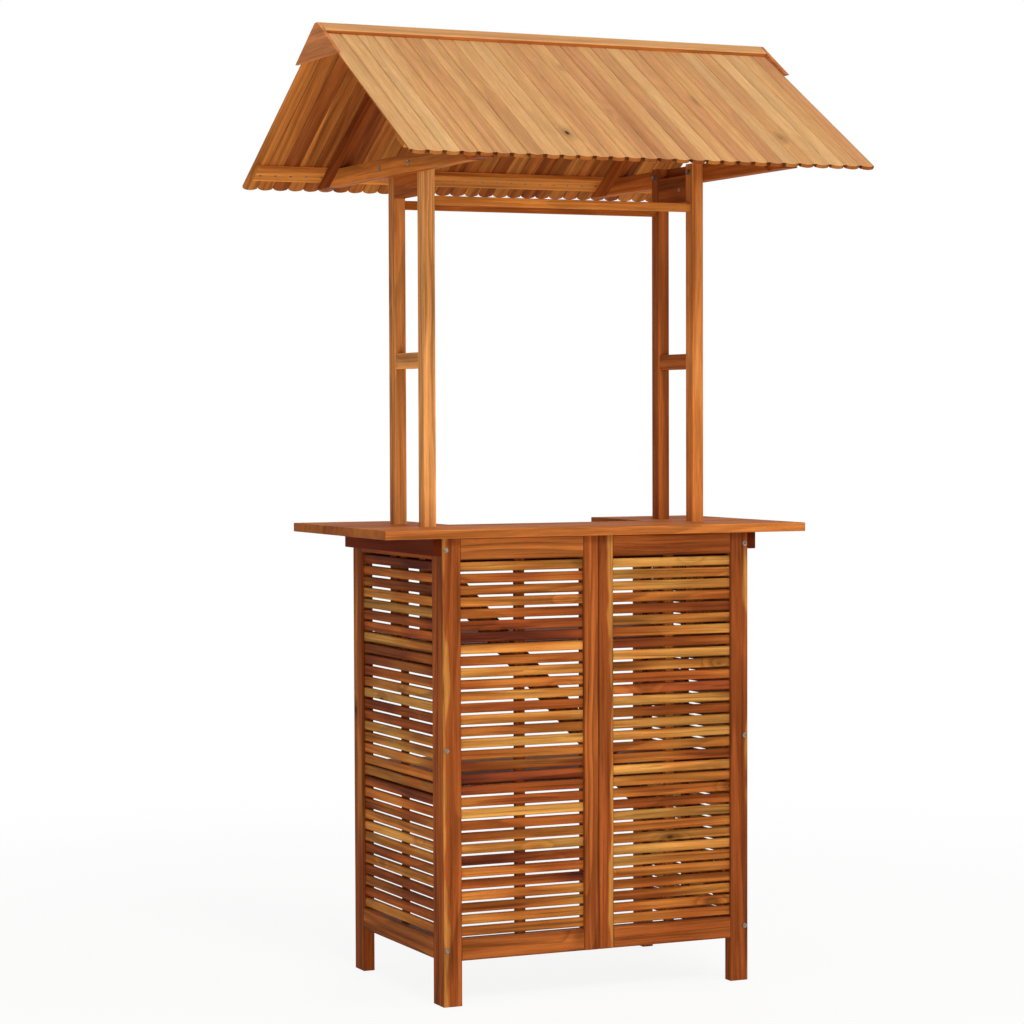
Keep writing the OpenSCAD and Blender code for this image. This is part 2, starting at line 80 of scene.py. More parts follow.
def add_camera():
    forward = Vector((
        math.sin(CAMERA_YAW) * math.cos(CAMERA_PITCH),
        math.cos(CAMERA_YAW) * math.cos(CAMERA_PITCH),
        math.sin(CAMERA_PITCH),
    ))
    level = Vector((math.cos(CAMERA_YAW), -math.sin(CAMERA_YAW), 0))
    upward = level.cross(forward)
    right = level * math.cos(CAMERA_ROLL) + upward * math.sin(CAMERA_ROLL)
    top = upward * math.cos(CAMERA_ROLL) - level * math.sin(CAMERA_ROLL)
    turn = Matrix((right, top, -forward)).transposed().to_4x4()
    camera = bpy.data.objects.new("camera", bpy.data.cameras.new("camera"))
    camera.matrix_world = Matrix.Translation(CAMERA_PLACE) @ turn
    camera.data.lens = CAMERA_LENS
    camera.data.shift_y = CAMERA_SHIFT
    camera.data.clip_end = CAMERA_REACH
    bpy.context.scene.collection.objects.link(camera)
    bpy.context.scene.camera = camera


# Node trees

CHANNEL_TOP = 255
SRGB_TOE = 0.04045
SRGB_TOE_SLOPE = 12.92
SRGB_OFFSET = 0.055
SRGB_POWER = 2.4
MIX_INPUTS = (0, 6, 7)       # the share and the two colours of a colour mix
MIX_OUTPUT = 2
NOISE_MIDDLE = 0.5


def linear(colour):
    """A screen colour with channels 0 to 255, as the linear colour that shaders take."""
    channels = [c / CHANNEL_TOP for c in colour]
    return tuple(
        c / SRGB_TOE_SLOPE if c <= SRGB_TOE else ((c + SRGB_OFFSET) / (1 + SRGB_OFFSET)) ** SRGB_POWER
        for c in channels
    ) + (1,)


class Nodes:
    """The node tree of a material or world, and the steps that it is built from."""

    def __init__(self, owner):
        owner.use_nodes = True
        self.owner = owner
        self.tree = owner.node_tree
        self.tree.nodes.clear()

    def node(self, kind, settings=None, inputs=None):
        made = self.tree.nodes.new("ShaderNode" + kind)
        for name, value in (settings or {}).items():
            setattr(made, name, value)
        for name, value in (inputs or {}).items():
            if isinstance(value, bpy.types.NodeSocket):
                self.tree.links.new(value, made.inputs[name])
            else:
                made.inputs[name].default_value = value
        return made

    def attribute(self, name):
        return self.node("Attribute", {"attribute_name": name}).outputs

    def math(self, operation, a, b=0.0):
        return self.node("Math", {"operation": operation}, {0: a, 1: b}).outputs[0]

    def add(self, a, b):
        return self.math("ADD", a, b)

    def times(self, a, b):
        return self.math("MULTIPLY", a, b)

    def all_but(self, share):
        return self.math("SUBTRACT", 1.0, share)

    def vector(self, operation, a, b):
        return self.node("VectorMath", {"operation": operation}, {0: a, 1: b}).outputs[0]

    def split(self, vector):
        return self.node("SeparateXYZ", inputs={0: vector}).outputs

    def noise(self, place, stretch, detail=2.0, roughness=0.5, distortion=0.0):
        return self.node("TexNoise", inputs={
            "Vector": self.vector("MULTIPLY", place, stretch), "Scale": 1.0,
            "Detail": detail, "Roughness": roughness, "Distortion": distortion,
        }).outputs["Fac"]

    def centred(self, noise, size):
        """A noise made to swing about zero."""
        return self.times(self.add(noise, -NOISE_MIDDLE), size)

    def step(self, value, low, high, start=0.0, end=1.0):
        """A smooth change from start to end while value goes from low to high."""
        return self.node("MapRange", {"interpolation_type": "SMOOTHSTEP"}, {
            "Value": value, "From Min": low, "From Max": high, "To Min": start, "To Max": end,
        }).outputs[0]

    def ramp(self, value, tones):
        made = self.node("ValToRGB", inputs={"Fac": value})
        elements = made.color_ramp.elements
        elements[0].position, elements[0].color = tones[0][0], linear(tones[0][1])
        elements[1].position, elements[1].color = tones[-1][0], linear(tones[-1][1])
        for place, colour in tones[1:-1]:
            elements.new(place).color = linear(colour)
        return made.outputs[0]

    def mix(self, share, a, b, blend="MIX"):
        inputs = dict(zip(MIX_INPUTS, (share, a, b)))
        return self.node("Mix", {"data_type": "RGBA", "blend_type": blend}, inputs).outputs[MIX_OUTPUT]

    def shade(self, colour, amount):
        """The colour made lighter or darker by a factor."""
        grey = self.node("CombineXYZ", inputs={0: amount, 1: amount, 2: amount}).outputs[0]
        return self.mix(1.0, colour, grey, "MULTIPLY")

    def finish(self, colour, roughness, height, relief, settings):
        """Makes the material's surface. Height goes from 0 to 1 over the relief's real depth."""
        bump = self.node("Bump", inputs={"Strength": 1.0, "Distance": relief, "Height": height})
        inputs = {"Base Color": colour, "Roughness": roughness, "Normal": bump.outputs[0], **settings}
        surface = self.node("BsdfPrincipled", inputs=inputs)
        self.node("OutputMaterial", inputs={"Surface": surface.outputs[0]})
        return self.owner


# Wood

# Each field of the figure: turns per metre along the grain and across it, and then, where they aren't
# noise()'s own, the noise's detail, roughness and distortion
SWAY = (Vector((3.5, 6, 6)), 1.0)
RINGS = (Vector((0.9, 11, 11)), 1.0, 0.4, 0.25)
WOBBLE = (Vector((5, 60, 60)),)
STREAKS = (Vector((1.3, 34, 34)), 3.0, 0.55, 0.4)
BANDS = (Vector((0.8, 95, 95)),)
LINES = (Vector((2.2, 190, 190)),)
FIBRES = (Vector((14, 420, 420)), 3.0, 0.6)
PORES = (Vector((55, 1500, 1500)), 1.0)
CLOUDS = (Vector((3.4, 6, 6)),)
BORDERS = (Vector((1.1, 15, 15)), 2.0, 0.5, 0.3)
SAP_BORDERS = (Vector((5, 25, 25)),)
KNOT_CELLS = Vector((6.5, 13, 13))  # cells per metre

SWAY_WIDTH = 0.012           # how far the figure wanders off the board's own line
CALM_END = 0.7               # share of the figure that end grain loses
CALM_SKY = 0.65              # and faces turned to the sky lose, washed out by painted light

KNOT_SPREAD = 0.8            # how far knots stray from a regular grid
KNOT_REACH = (0.0, 0.42)     # distances from a knot's middle between which it fades, in cells
KNOT_CORE_REACH = (0.04, 0.1)
KNOT_HALO_REACH = (0.06, 0.3)
KNOT_HALO_DEPTH = 0.35
KNOT_CORE = (56, 26, 14)

RING_COUNT = 9.0
RING_WOBBLE = 0.4
RINGS_AT_KNOT = 1.8
LATE_WOOD_RISE = (0.25, 0.85)
LATE_WOOD_FALL = (0.9, 1.0)
RINGS_IN_ALL = 0.6           # shares of the rings' depth that every board has
RINGS_BY_PICK = 0.8          # and that a board's own number adds

TONE_BY_STREAK = 0.5
STREAK_RANGE = (0.3, 0.75)
STREAK_SHADE = (0.4, -1.0)   # light that the palest and the darkest streaks add, times the depth asked for
BAND_RANGE = (0.35, 0.7)
BAND_SHADE = (0.25, -0.5)
LINE_RANGE = (0.54, 0.68)
FIBRE_RANGE = (0.25, 0.75)
FIBRE_SHADE = (1.1, 0.86)
PORE_RANGE = (0.60, 0.70)
PORE_DEPTH = 0.14

SECOND_BY_PICK = 0.4
SECOND_BY_BAND = 0.16
SECOND_BORDER = (0.92, 1.04) # where the second tone sets in, less the share asked for
SECOND_UNDER_SKY_LIGHT = 0.85       # share of the second tone that faces turned to the sky lose under painted light
SAPWOOD = (202, 140, 66)
SAPWOOD_SHARE = 0.65
SAPWOOD_BORDER = (0.005, 0.012)  # distances from its edge between which sapwood fades
SAPWOOD_WANDER = 0.07

END_GRAIN = 0.7              # how light end grain is against the board's side
JOINT_SHADE = 0.6            # painted shade: share of the light taken off the side of a joint turned to +X, away from the light
WOOD_RELIEF = 0.00022
RELIEF_BY_FIBRE = 0.55
RELIEF_BY_RING = 0.35
RELIEF_BY_HOLE = 0.5
GLOSS_BY_FIBRE = 0.6
GLOSS_BY_RING = 0.4
GLOSS_RANGE = (0.1, 0.9)
ROUGHER = 0.09               # what the softest wood adds to the roughness
SMOOTHER = 0.07              # and the densest takes off
WOOD_SHINE = 0.02


class Wood(Nodes):
    """A wood material, with the attributes and fields that its figure is drawn from."""

    def __init__(self, name):
        super().__init__(bpy.data.materials.new(name))
        straight = self.attribute("grain")["Vector"]
        sway = self.centred(self.noise(straight, *SWAY), SWAY_WIDTH)
        aside = self.node("CombineXYZ", inputs={1: sway, 2: sway}).outputs[0]
        self.grain = self.vector("ADD", straight, aside)
        board = self.split(self.attribute("board")["Vector"])
        self.tone_pick, self.second_pick, self.figure_pick = board[0:3]
        faces = self.split(self.attribute("faces")["Vector"])
        self.end, self.edge, self.open_sky = faces[0:3]
        self.streak = self.noise(self.grain, *STREAKS)
        self.band = self.noise(self.grain, *BANDS)
        self.line = self.step(self.noise(self.grain, *LINES), *LINE_RANGE)
        self.fibre = self.noise(self.grain, *FIBRES)
        self.pores = self.step(self.noise(self.grain, *PORES), *PORE_RANGE)

    def calm(self, painted_sky_light):
        """The share of the figure that a face shows."""
        share = self.all_but(self.times(self.end, CALM_END))
        # faces turned to the sky show less figure, washed out by painted light
        if painted_sky_light:
            share = self.times(share, self.all_but(self.times(self.open_sky, CALM_SKY)))
        return share

    def knots(self, share):
        """Now and then a cell has a knot. Gives how far it bends the rings, its core and its dark halo."""
        cells = self.node("TexVoronoi", inputs={
            "Vector": self.vector("MULTIPLY", self.grain, KNOT_CELLS),
            "Scale": 1.0, "Randomness": KNOT_SPREAD,
        }).outputs
        present = self.math("LESS_THAN", self.split(cells["Color"])[0], share)
        return [
            self.times(self.step(cells["Distance"], *reach, 1.0, 0.0), present)
            for reach in (KNOT_REACH, KNOT_CORE_REACH, KNOT_HALO_REACH)
        ]

    def late_wood(self, knot):
        """Growth rings: contour lines of a field that changes slowly along the board and bends at knots."""
        field = self.times(self.noise(self.grain, *RINGS), RING_COUNT)
        wobble = self.times(self.noise(self.grain, *WOBBLE), RING_WOBBLE)
        turns = self.add(field, self.add(wobble, self.times(knot, RINGS_AT_KNOT)))
        saw = self.math("FRACT", turns)
        return self.times(self.step(saw, *LATE_WOOD_RISE), self.step(saw, *LATE_WOOD_FALL, 1.0, 0.0))

    def own_colour(self, tones, sky, spread, clouds):
        """The board's tone, which goes up and down with clouds and streaks."""
        cloud = self.centred(self.noise(self.grain, *CLOUDS), clouds)
        pick = self.add(self.times(self.tone_pick, spread), cloud)
        pick = self.add(pick, self.centred(self.streak, TONE_BY_STREAK))
        colour = self.ramp(pick, tones)
        # faces turned to the sky take the paler sky tones: painted light and sky reflection
        if sky:
            colour = self.mix(self.open_sky, colour, self.ramp(pick, sky))
        return colour

    def second_colour(self, colour, second, share, painted_sky_light):
        """Patches of the other tone, with soft borders along the grain."""
        border = self.add(self.noise(self.grain, *BORDERS), self.times(self.second_pick, SECOND_BY_PICK))
        border = self.add(border, self.centred(self.band, SECOND_BY_BAND))
        patch = self.step(border, SECOND_BORDER[0] - share, SECOND_BORDER[1] - share)
        # faces turned to the sky lose most of the second tone under painted light
        if painted_sky_light:
            patch = self.times(patch, self.all_but(self.times(self.open_sky, SECOND_UNDER_SKY_LIGHT)))
        return self.mix(patch, colour, linear(second))

    def sapwood(self, colour):
        """A pale strip where the board's edge was near the bark."""
        wander = self.centred(self.noise(self.grain, *SAP_BORDERS), SAPWOOD_WANDER)
        inward = self.add(self.attribute("sap")["Fac"], wander)
        return self.mix(self.step(inward, *SAPWOOD_BORDER, SAPWOOD_SHARE, 0.0), colour, linear(SAPWOOD))

    def figure(self, colour, calm, late_wood, rings, streaks, lines):
        """Streaks, bands, dark lines, rings, fibres and pores over the colour."""
        depth = self.times(calm, streaks)
        streak_light = self.step(self.streak, *STREAK_RANGE, *STREAK_SHADE)
        band_light = self.step(self.band, *BAND_RANGE, *BAND_SHADE)
        for light in (streak_light, band_light):
            colour = self.shade(colour, self.add(1.0, self.times(depth, light)))
        colour = self.shade(colour, self.all_but(self.times(self.line, self.times(calm, lines))))
        share = self.add(rings * RINGS_IN_ALL, self.times(self.figure_pick, rings * RINGS_BY_PICK))
        colour = self.shade(colour, self.all_but(self.times(late_wood, self.times(calm, share))))
        colour = self.shade(colour, self.step(self.fibre, *FIBRE_RANGE, *FIBRE_SHADE))
        return self.shade(colour, self.all_but(self.times(self.pores, PORE_DEPTH)))

    def edges(self, colour, edge_wear_and_painted_light):
        """Eased edges paler with painted highlight and some wear, or darker with painted shade; painted
        shade on the sides of joints turned away from the light; and end grain, with painted shadow beside
        the notches.
        """
        # painted highlight with some wear on eased edges where edge_wear_and_painted_light is above zero,
        # painted shade where it is below
        painted_edge_light_and_wear = self.times(self.math("MAXIMUM", self.edge, 0.0), edge_wear_and_painted_light)
        # painted shade on the sides of joints turned away from the light
        joint_painted_shade = self.times(self.math("MINIMUM", self.edge, 0.0), JOINT_SHADE)
        colour = self.shade(colour, self.add(1.0, self.add(painted_edge_light_and_wear, joint_painted_shade)))
        return self.shade(colour, self.all_but(self.times(self.end, 1.0 - END_GRAIN)))


def wood(name, tones, second=None, second_share=0.3, sky=None, rings=0.2, streaks=0.25, lines=0.25,
         knots=0.12, rough=0.55, spread=0.9, clouds=0.4, edge_wear_and_painted_light=0.06):
    """Hardwood. tones runs from a board's palest to its darkest possible colour, second is the other tone
    that part of a board may have, and sky is the paler tones painted on faces turned to the sky, as their
    stronger light and sky reflection. rings, streaks, lines and clouds are the depths of these, knots is the
    share of cells that have one, spread says how much of tones the boards use, and
    edge_wear_and_painted_light is what eased
    edges gain: painted highlight with some wear above zero, painted shade below it."""
    w = Wood(name)
    painted_sky_light = sky is not None
    knot, core, halo = w.knots(knots)
    late_wood = w.late_wood(knot)

    colour = w.own_colour(tones, sky, spread, clouds)
    if second:
        colour = w.second_colour(colour, second, second_share, painted_sky_light)
    colour = w.sapwood(colour)
    colour = w.figure(colour, w.calm(painted_sky_light), late_wood, rings, streaks, lines)
    colour = w.shade(colour, w.all_but(w.times(halo, KNOT_HALO_DEPTH)))
    colour = w.mix(core, colour, linear(KNOT_CORE))
    colour = w.edges(colour, edge_wear_and_painted_light)

    density = w.add(w.times(w.fibre, GLOSS_BY_FIBRE), w.times(late_wood, GLOSS_BY_RING))
    roughness = w.step(density, *GLOSS_RANGE, rough + ROUGHER, rough - SMOOTHER)
    raised = w.add(w.times(w.fibre, RELIEF_BY_FIBRE), w.times(late_wood, RELIEF_BY_RING))
    holes = w.times(w.add(w.pores, core), RELIEF_BY_HOLE)
    height = w.math("SUBTRACT", raised, holes)
    return w.finish(colour, roughness, height, WOOD_RELIEF, {"Specular IOR Level": WOOD_SHINE})


# Steel

SPOTS = (Vector((900, 900, 900)), 3.0, 0.6)
STAINS = (Vector((160, 160, 160)),)
STEEL_TONES = [(0.35, (160, 146, 126)), (0.7, (104, 92, 78))]
SPOT_RANGE = (0.3, 0.7)
STEEL_ROUGHNESS = (0.36, 0.52)
STEEL_RELIEF = 0.00005


def steel(name):
    s = Nodes(bpy.data.materials.new(name))
    place = s.node("TexCoord").outputs["Object"]
    spots = s.noise(place, *SPOTS)
    colour = s.ramp(s.noise(place, *STAINS), STEEL_TONES)
    roughness = s.step(spots, *SPOT_RANGE, *STEEL_ROUGHNESS)
    return s.finish(colour, roughness, spots, STEEL_RELIEF, {"Metallic": 1.0})


# Materials, one for each slot of the record

# Tones of the roof boards' undersides, and in SKY the paler, greyer tones painted on their faces turned to
# the sky, standing in for stronger light and sky reflection
UNDERSIDE = [(0.0, (214, 138, 66)), (0.4, (194, 114, 52)), (0.75, (162, 86, 40)), (1.0, (126, 62, 32))]
SKY = [(0.0, (226, 178, 122)), (0.4, (216, 160, 104)), (0.7, (204, 144, 96)), (1.0, (178, 118, 70))]

# edge_wear_and_painted_light above zero paints highlight with some wear on eased edges; below zero, on
# panels and slats, it paints shade along the grooves between pieces
MATERIALS = {
    "panel_wood": wood(
        "panel_wood", [(0.0, (184, 108, 50)), (0.5, (158, 81, 36)), (1.0, (118, 56, 29))],
        second=(186, 118, 54), second_share=0.05, rings=0.28, streaks=0.36, lines=0.34, knots=0.14,
        edge_wear_and_painted_light=-0.3),
    "slat_wood": wood(
        "slat_wood", [(0.0, (212, 150, 74)), (0.3, (192, 118, 52)), (0.6, (168, 88, 38)),
                      (0.85, (138, 66, 34)), (1.0, (108, 50, 32))],
        second=(200, 132, 60), second_share=0.12, rings=0.26, streaks=0.44, lines=0.4, knots=0.26,
        spread=0.92, clouds=1.3, edge_wear_and_painted_light=-0.15),
    "shelf_wood": wood(
        "shelf_wood", [(0.0, (186, 118, 60)), (0.5, (166, 94, 46)), (1.0, (136, 70, 34))]),
    "counter_wood": wood(
        "counter_wood", [(0.0, (204, 122, 58)), (0.5, (164, 84, 38)), (1.0, (126, 58, 26))],
        second=(190, 120, 56), second_share=0.1, rings=0.24, streaks=0.36, lines=0.3, edge_wear_and_painted_light=0.3),
    "cleat_wood": wood(
        "cleat_wood", [(0.0, (110, 42, 13)), (1.0, (80, 28, 9))], rings=0.15, knots=0.04),
    "post_wood": wood(
        "post_wood", [(0.0, (236, 163, 94)), (0.5, (196, 114, 52)), (1.0, (140, 64, 28))],
        second=(212, 150, 84), second_share=0.08, rings=0.24, streaks=0.34, lines=0.3, edge_wear_and_painted_light=0.2),
    "truss_wood": wood(
        "truss_wood", [(0.0, (234, 148, 68)), (0.5, (192, 104, 42)), (1.0, (122, 54, 24))],
        streaks=0.28, knots=0.08),
    "board_wood": wood(
        "board_wood", UNDERSIDE, sky=SKY, second=(210, 130, 60), second_share=0.12, streaks=0.32, lines=0.2,
        knots=0.26, rough=0.6),
    "plate_wood": wood(
        "plate_wood", [(0.0, (234, 152, 90)), (1.0, (208, 124, 74))], rings=0.18),
    "steel": steel("steel"),
}

# Each node's palest and darkest board, from 0 to 1, where the photograph shows it clearly
TONES = {
    "rear_roof_battens": (0, 0), "front_roof_battens": (0.1, 0.2),
    "left_tie_beam": (0.36, 0.36), "right_tie_beam": (0.6, 0.6),
    "rear_left_rafter": (0.9, 0.9), "front_left_rafter": (0.85, 0.85),
    "rear_right_rafter": (0.7, 0.7), "front_right_rafter": (0.75, 0.75),
    "front_cross_rail": (0.15, 0.15), "rear_cross_rail": (0.5, 0.5),
    "left_head_rail": (0.7, 0.7), "right_head_rail": (0.8, 0.8),
    "front_left_post": (0, 0), "rear_left_post": (0.35, 0.35),
    "front_right_post": (0.5, 0.5), "rear_right_post": (0.85, 0.85),
    "left_rung": (0.2, 0.2), "right_rung": (0.85, 0.85),
    "front_left_outer_stile": (0.55, 0.55), "front_left_inner_stile": (0.5, 0.5),
    "front_right_inner_stile": (0.62, 0.62), "front_right_outer_stile": (0.75, 0.75),
    "left_side_front_stile": (0.6, 0.6), "left_side_rear_stile": (0.7, 0.7),
    "front_left_rails": (0.2, 0.3), "front_right_rails": (0.45, 0.6),
    "counter_front_boards": (0, 0.3), "counter_left_boards": (0.1, 0.4), "counter_right_boards": (0.1, 0.4),
    "front_left_slats": (0.05, 0.95), "front_right_slats": (0, 0.72), "left_side_slats": (0.1, 0.9),
    "rear_roof_boards": (0.1, 0.85), "front_roof_boards": (0.1, 0.8),
}
NAMED_SECOND = 0.55          # boards of these nodes have less of the second tone

# Stiles with a pale strip of sapwood down one edge, the side it is on and how far it reaches into the stile
SAP_EDGES = {
    "front_left_outer_stile": (-1, 0.001),
    "front_right_inner_stile": (1, 0.001),
    "front_right_outer_stile": (1, -0.006),
}
NO_SAP = 1.0
SAP_FALL = 8.0               # how fast sapwood ends behind the front face


# Boards

WELD = 2e-5                  # vertices nearer than this are one
PLACE_DIGITS = 4             # decimals that tell two boards' places apart
EASE = 0.0008                # radius of softened edges where EASES names none
EASES = {
    "counter_wood": 0.0025,
    "cleat_wood": 0.002,
    "post_wood": 0.0015,
    "panel_wood": 0.0012,
    "slat_wood": 0.001,
}
EASE_SEGMENTS = 2
ROUND = 0.5                  # the profile of a bevel that is a quarter circle
FLAT = math.radians(0.5)     # faces that meet at less than this are one
SHARP = math.radians(18)     # faces that meet at more than this have an edge to soften
SHORTEST_EASED = 0.0013      # edges of bolt holes are shorter and stay as they are

UPRIGHT = 0.9                # grain steeper than this takes X as its side
GRAIN_SHIFT = 40             # boards are cut from places in the figure up to this far apart
END_FACING = 0.8             # faces turned this far along the grain are end grain
NOTCH_FACING = (0.3, 0.84)   # ends of roof boards turned so far aside lie beside a notch
NOTCH_PAINTED_SHADOW = 2.6            # and get painted shadow, losing this many times the light that other end grain loses
EDGE_FACING = 0.15           # faces turned this far to two sides at once are eased edges
AWAY_FROM_LIGHT_FACING = 0.2             # eased edges of boards turned this far to +X, away from the light, get painted shade
SKY_FACING = 0.1             # faces turned this far to the sky get the paler tones of painted light


def sort_place(island):
    return tuple(round(sum(v.co[i] for v in island) / len(island), PLACE_DIGITS) for i in range(3))


def islands(bm):
    """The mesh's separate solids, each as a list of vertices, in a fixed order."""
    seen = set()
    found = []
    for start in bm.verts:
        if start in seen:
            continue
        seen.add(start)
        island = [start]
        for vertex in island:
            for link in vertex.link_edges:
                other = link.other_vert(vertex)
                if other not in seen:
                    seen.add(other)
                    island.append(other)
        found.append(island)
    return sorted(found, key=sort_place)


def spread(low, high, count):
    """Middles of count equal parts of the span from low to high."""
    return [low + (high - low) * (i + 0.5) / count for i in range(count)]


def soften(bm, ease):
    bmesh.ops.remove_doubles(bm, verts=bm.verts, dist=WELD)
    bmesh.ops.dissolve_limit(bm, angle_limit=FLAT, verts=bm.verts, edges=bm.edges)
    edges = [
        e for e in bm.edges
        if len(e.link_faces) == 2 and e.calc_face_angle() > SHARP and e.calc_length() > SHORTEST_EASED
    ]
    bmesh.ops.bevel(bm, geom=edges, offset=ease, offset_type="OFFSET", segments=EASE_SEGMENTS, profile=ROUND,
                    affect="EDGES", clamp_overlap=True)


def grain_axes(along):
    """The grain's direction with two directions square to it."""
    across = Z_AXIS.cross(along) if abs(along.z) < UPRIGHT else X_AXIS
    across = across.normalized()
    return along, across, along.cross(across)


def open_direction(node, along):
    """Up, and for roof boards square out of their slope."""
    if "roof_boards" not in node:
        return Z_AXIS
    outward = X_AXIS.cross(along)
    return outward if outward.z > 0 else -outward


def sap_distance(node, place):
    """How far a place lies from the sapwood edge of its stile, or far where it has none."""
    if node not in SAP_EDGES:
        return NO_SAP
    side, reach = SAP_EDGES[node]
    low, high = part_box(node)
    inward = high.x - place.x if side > 0 else place.x - low.x
    return inward - reach + (place.y - low.y) * SAP_FALL


def mark_boards(bm, node, axes):
    """Gives each board its tone, its own place in the figure and its distance from the sapwood."""
    rng = random.Random(f"{SEED} {node}")
    grain = bm.verts.layers.float_vector.new("grain")
    board = bm.verts.layers.float_vector.new("board")
    sap = bm.verts.layers.float.new("sap")
    boards = islands(bm)
    picks = spread(*TONES.get(node, (0, 1)), len(boards))
    rng.shuffle(picks)
    for vertices, pick in zip(boards, picks):
        shift = Vector([rng.uniform(0, GRAIN_SHIFT) for axis in axes])
        second = rng.random() * (NAMED_SECOND if node in TONES else 1)
        numbers = Vector((pick, second, rng.random()))
        for v in vertices:
            v[grain] = Vector([v.co.dot(axis) for axis in axes]) + shift
            v[board] = numbers
            v[sap] = sap_distance(node, v.co)


def mark_faces(bm, node, axes):
    """Tells end grain, notches for painted shadow, eased edges, joint sides for painted shade and faces
    turned to the sky for painted light from the rest.
    """
    along, across, depth = axes
    outward = open_direction(node, along)
    faces = bm.faces.layers.float_vector.new("faces")
    bm.normal_update()
    for f in bm.faces:
        end = 1.0 if abs(f.normal.dot(along)) > END_FACING else 0.0
        # ends beside a notch get painted shadow, carried as extra-dark end grain
        if "roof_boards" in node and NOTCH_FACING[0] < f.normal.dot(along) < NOTCH_FACING[1]:
            end = NOTCH_PAINTED_SHADOW
        edge = 1.0 if abs(f.normal.dot(across) * f.normal.dot(depth)) > EDGE_FACING else 0.0
        # eased edges of boards turned away from the light are marked for painted shade
        if "boards" in node and f.normal.x > AWAY_FROM_LIGHT_FACING:
            edge = -edge
        open_sky = 1.0 if f.normal.dot(outward) > SKY_FACING else 0.0
        f[faces] = Vector((end, edge, open_sky))
        f.smooth = True


def add_object(name, bm, material):
    """Makes an object of a finished mesh."""
    mesh = bpy.data.meshes.new(name)
    bm.to_mesh(mesh)
    bm.free()
    mesh.materials.append(material)
    made = bpy.data.objects.new(name, mesh)
    bpy.context.scene.collection.objects.link(made)
    return made


def dress(node, along, slot):
    """Replaces a wooden node by a copy of itself with softened edges and grain."""
    axes = grain_axes(along)
    bm = bmesh.new()
    bm.from_mesh(frame["nodes"][node].data)
    soften(bm, EASES.get(slot, EASE))
    mark_boards(bm, node, axes)
    mark_faces(bm, node, axes)
    piece = add_object(node + "_wood", bm, MATERIALS[slot])
    piece.modifiers.new("normals", "WEIGHTED_NORMAL").keep_sharp = True
    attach(piece, "root")
    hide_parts(node)


def grain_direction(node):
    """The way the boards of a node run."""
    if "roof_boards" in node or "rafter" in node:
        return FRONT_SLOPE if node.startswith("front") else REAR_SLOPE
    if "stile" in node or "post" in node or "slat_batten" in node:
        return Z_AXIS
    if "gable_plate" in node or "tie_beam" in node or "rung" in node or "head_rail" in node:
        return Y_AXIS
    if "cleat" in node or "shelf_bar" in node or "side_rails" in node or "side_slats" in node:
        return Y_AXIS
    if node == "front_brace":
        low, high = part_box(node)
        return Vector((high.x - low.x, 0, low.z - high.z)).normalized()
    return X_AXIS


for entry in frame["record"]["subparts"]:
    if entry["material_slot"] == "steel":
        fixing = frame["nodes"][entry["node"]]
        fixing.data.materials.clear()
        fixing.data.materials.append(MATERIALS["steel"])
    else:
        dress(entry["node"], grain_direction(entry["node"]), entry["material_slot"])


# Screws and other small fixings

SCREW_RADIUS = 0.0036
SCREW_DOME = 0.0006
SCREW_SIDES = 20
CROSS_ARM = 0.0021
CROSS_HALF = 0.00055
CROSS_DEPTH = 0.0012
CROSS_TAPER = (0.55, 0.8)    # size of the recess's floor against its mouth, along the arms and across
BATTEN_T = 0.015
ROOF_BOARDS = 29
SHELF_BOARDS = 5
SHELF_SCREW_X = 0.340
SHELF_SCREW_APART = 0.030    # half the way between the two screws of a board's end
BRACE_CROSSINGS = (-0.343, -0.186, -0.0187, 0.0187, 0.186, 0.343)
BRACE_SCREW_OFF = 0.012
BARREL_NUT_Y = -0.035
BARREL_NUT_SIZE = 1.45       # against a screw


def circle(radius, sides):
    angles = [2 * math.pi * i / sides for i in range(sides)]
    return [(radius * math.cos(angle), radius * math.sin(angle)) for angle in angles]


def cross_outline():
    """Corners of a cross recess, anticlockwise."""
    corners = []
    for quarter in range(4):
        c, s = math.cos(quarter * math.pi / 2), math.sin(quarter * math.pi / 2)
        for x, y in ((CROSS_ARM, -CROSS_HALF), (CROSS_ARM, CROSS_HALF), (CROSS_HALF, CROSS_HALF)):
            corners.append((x * c - y * s, x * s + y * c))
    return corners


def add_screw(bm, place, outward, turn, size):
    """A head with a cross recess, let into the wood but for a low dome."""
    matrix = Matrix.Translation(place) @ outward.to_track_quat("Z", "Y").to_matrix().to_4x4()
    matrix = matrix @ Matrix.Rotation(turn, 4, "Z") @ Matrix.Scale(size, 4)

    def loop(points, height):
        return [bm.verts.new(matrix @ Vector((x, y, height))) for x, y in points]

    rim = loop(circle(SCREW_RADIUS, SCREW_SIDES), 0)
    base = loop(circle(SCREW_RADIUS, SCREW_SIDES), -SCREW_DOME)
    mouth = loop(cross_outline(), SCREW_DOME)
    narrowed = [(x * CROSS_TAPER[0], y * CROSS_TAPER[1]) for x, y in cross_outline()]
    pit = loop(narrowed, SCREW_DOME - CROSS_DEPTH)
    edges = [bm.edges.new((ring[i - 1], ring[i])) for ring in (rim, mouth) for i in range(len(ring))]
    bmesh.ops.triangle_fill(bm, use_beauty=True, use_dissolve=False, edges=edges, normal=outward)
    for upper, lower in ((mouth, pit), (rim, base)):
        for i in range(len(upper)):
            bm.faces.new((upper[i - 1], upper[i], lower[i], lower[i - 1]))
    bm.faces.new(pit)


